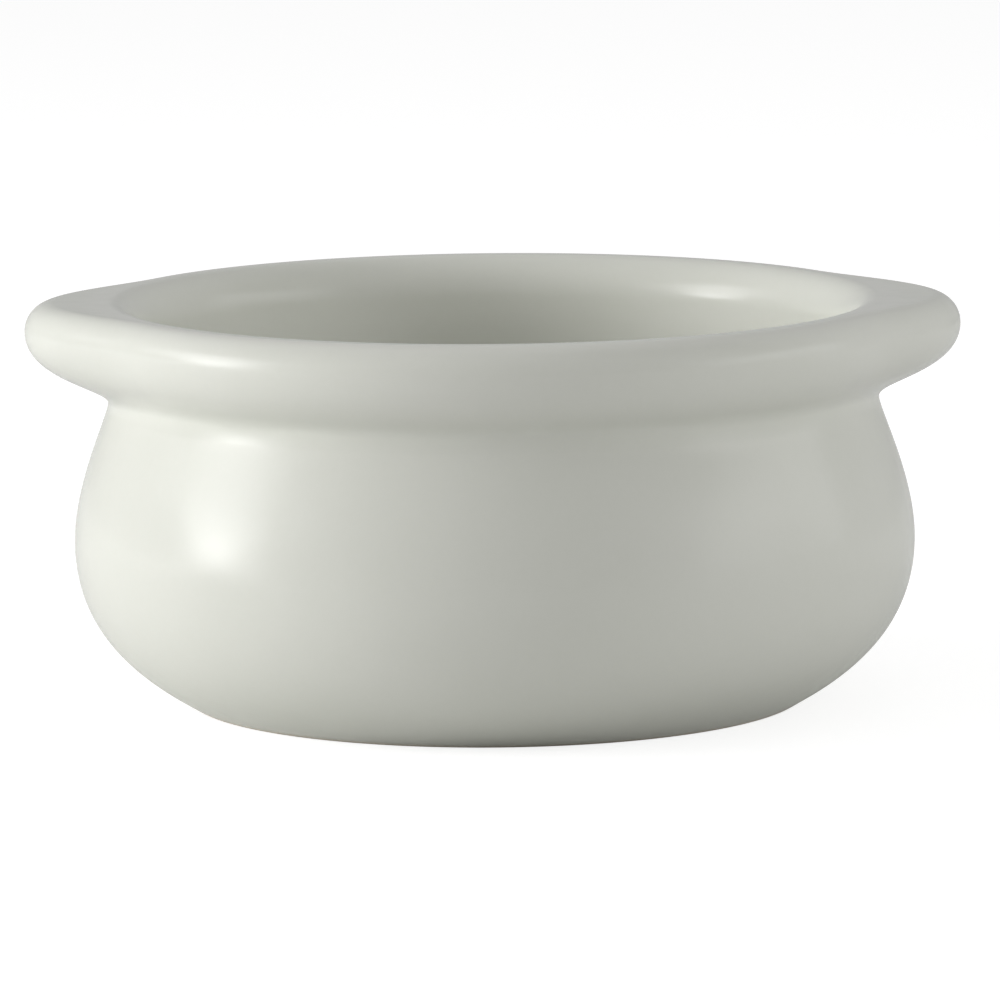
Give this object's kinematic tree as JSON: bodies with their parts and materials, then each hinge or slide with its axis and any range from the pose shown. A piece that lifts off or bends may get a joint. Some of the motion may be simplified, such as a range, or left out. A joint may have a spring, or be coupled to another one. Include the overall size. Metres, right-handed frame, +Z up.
{
  "type": "french onion soup crock",
  "caption": "Round-bellied glazed stoneware soup crock with drawn-in neck, rolled rim, lugs on opposite sides and a low foot ring.",
  "frame": {"origin": "centre of the foot ring, on the table", "axes": "+Z up along the axis that the bowl is turned on, +X out through the lug on the picture's right, -Y towards the picture's viewer"},
  "size_m": [0.136, 0.1224, 0.0585],
  "materials": {
    "body_glaze": "glossy off-white glaze with a faint green-grey cast",
    "rim_glaze": "glossy off-white glaze with a faint green-grey cast",
    "bare_clay": "matt unglazed stoneware"
  },
  "bodies": {
    "root": {"bowl": "body_glaze", "foot_ring": "bare_clay", "front_rim_roll": "rim_glaze", "back_rim_roll": "rim_glaze", "left_lug": "rim_glaze", "right_lug": "rim_glaze"}
  },
  "joints": []
}
